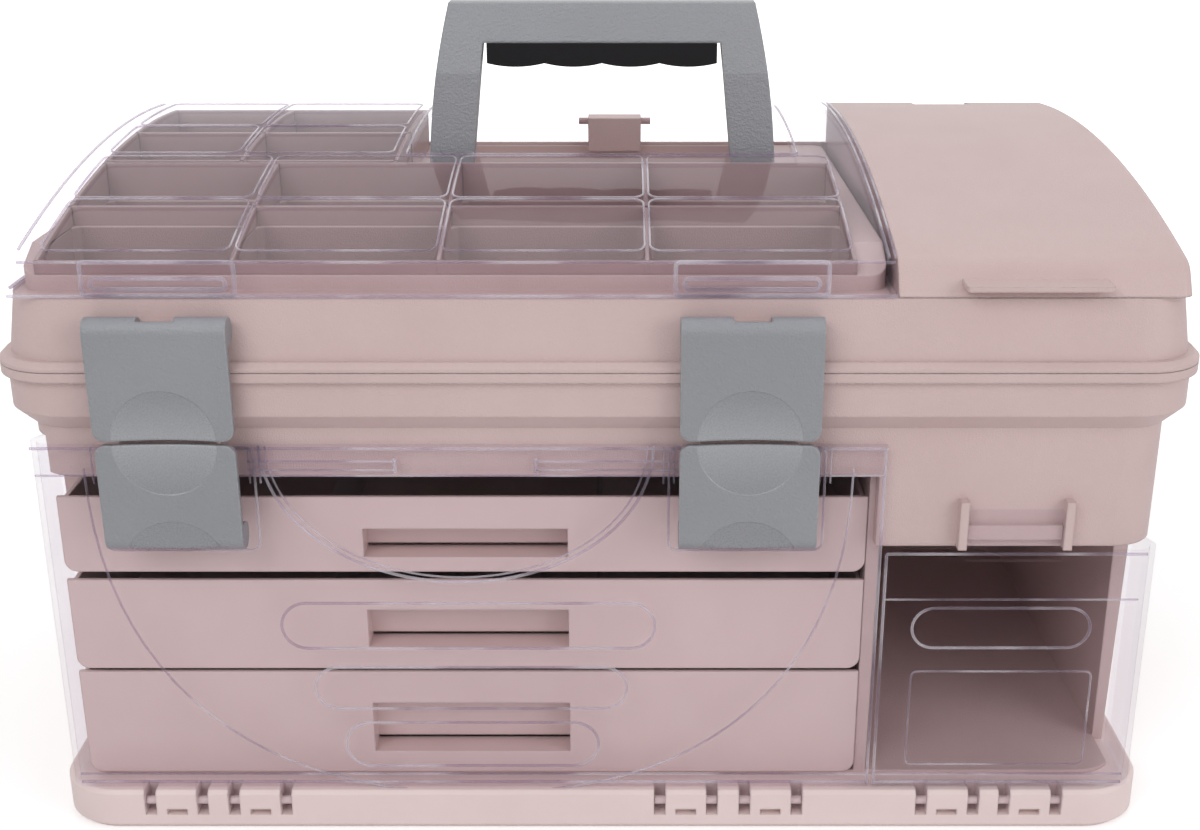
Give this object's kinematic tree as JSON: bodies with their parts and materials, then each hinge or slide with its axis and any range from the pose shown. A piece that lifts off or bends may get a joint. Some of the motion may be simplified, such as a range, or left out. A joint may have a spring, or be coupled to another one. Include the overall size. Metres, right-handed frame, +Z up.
{
  "type": "drawer organizer with handle",
  "caption": "Carrying case with a clear arched cover over a divided tray, a side lid, drawers behind a clear drop door and a fold-down carrying handle.",
  "frame": {"origin": "middle of the footprint, on the surface that the case stands on", "axes": "+X to the right seen from the front, -Y out of the front where the drawers open, +Z up"},
  "size_m": [0.545, 0.311, 0.381],
  "materials": {
    "rose_plastic": "fine textured dusty rose plastic",
    "drawer_plastic": "smooth dusty rose plastic",
    "clear_plastic": "clear plastic",
    "grey_plastic": "grey plastic with a metallic flake",
    "black_rubber": "soft black grip"
  },
  "bodies": {
    "housing": {"base_plinth": "rose_plastic", "cabinet_shell": "rose_plastic", "upper_bin": "rose_plastic"},
    "top_drawer": {"drawer_top": "drawer_plastic", "drawer_top_divider_1": "clear_plastic", "drawer_top_divider_2": "clear_plastic"},
    "middle_drawer": {"drawer_middle": "drawer_plastic", "drawer_middle_divider_1": "clear_plastic", "drawer_middle_divider_2": "clear_plastic"},
    "bottom_drawer": {"drawer_bottom": "drawer_plastic", "drawer_bottom_divider_1": "clear_plastic", "drawer_bottom_divider_2": "clear_plastic"},
    "door": {"front_door": "clear_plastic"},
    "compartment_door": {"side_door": "clear_plastic"},
    "left_door_latch": {"door_latch_left": "grey_plastic"},
    "right_door_latch": {"door_latch_right": "grey_plastic"},
    "lid": {"main_lid": "rose_plastic"},
    "left_lid_latch": {"lid_latch_left": "grey_plastic"},
    "right_lid_latch": {"lid_latch_right": "grey_plastic"},
    "cover": {"top_cover": "clear_plastic"},
    "side_lid": {"right_lid": "rose_plastic"},
    "handle": {"handle_frame": "grey_plastic", "handle_grip": "black_rubber"}
  },
  "joints": [
    {"name": "lid_hinge", "type": "hinge", "parent": "housing", "child": "lid", "pos_m": [0, 0.1507, 0.238], "axis": [-1, 0, 0], "range_deg": [0, 95]},
    {"name": "cover_hinge", "type": "hinge", "parent": "lid", "child": "cover", "pos_m": [0, 0.1415, 0.3], "axis": [-1, 0, 0], "range_deg": [0, 100]},
    {"name": "side_lid_hinge", "type": "hinge", "parent": "lid", "child": "side_lid", "pos_m": [0.197, 0.1415, 0.3], "axis": [-1, 0, 0], "range_deg": [0, 100]},
    {"name": "handle_fold", "type": "hinge", "parent": "lid", "child": "handle", "pos_m": [0, 0.009, 0.284], "axis": [-1, 0, 0], "range_deg": [0, 76]},
    {"name": "door_hinge", "type": "hinge", "parent": "housing", "child": "door", "pos_m": [0, -0.141, 0.0145], "axis": [1, 0, 0], "range_deg": [0, 85]},
    {"name": "compartment_door_hinge", "type": "hinge", "parent": "housing", "child": "compartment_door", "pos_m": [0.19, -0.141, 0.0145], "axis": [1, 0, 0], "range_deg": [0, 85]},
    {"name": "left_lid_latch_pivot", "type": "hinge", "parent": "lid", "child": "left_lid_latch", "pos_m": [-0.1925, -0.1492, 0.2577], "axis": [-1, 0, 0], "range_deg": [0, 60]},
    {"name": "right_lid_latch_pivot", "type": "hinge", "parent": "lid", "child": "right_lid_latch", "pos_m": [0.0671, -0.1492, 0.2577], "axis": [-1, 0, 0], "range_deg": [0, 60]},
    {"name": "left_door_latch_pivot", "type": "hinge", "parent": "door", "child": "left_door_latch", "pos_m": [-0.1925, -0.1492, 0.1607], "axis": [1, 0, 0], "range_deg": [0, 25]},
    {"name": "right_door_latch_pivot", "type": "hinge", "parent": "door", "child": "right_door_latch", "pos_m": [0.0671, -0.1492, 0.1607], "axis": [1, 0, 0], "range_deg": [0, 25]},
    {"name": "top_drawer_slide", "type": "slide", "parent": "housing", "child": "top_drawer", "axis": [0, -1, 0], "range_m": [0, 0.1786]},
    {"name": "middle_drawer_slide", "type": "slide", "parent": "housing", "child": "middle_drawer", "axis": [0, -1, 0], "range_m": [0, 0.1267]},
    {"name": "bottom_drawer_slide", "type": "slide", "parent": "housing", "child": "bottom_drawer", "axis": [0, -1, 0], "range_m": [0, 0.0273]}
  ],
  "couplings": [
    {"joint": "top_drawer_slide", "follows": "door_hinge", "m_per_rad": 0.12},
    {"joint": "middle_drawer_slide", "follows": "door_hinge", "m_per_rad": 0.085},
    {"joint": "bottom_drawer_slide", "follows": "door_hinge", "m_per_rad": 0.018}
  ]
}
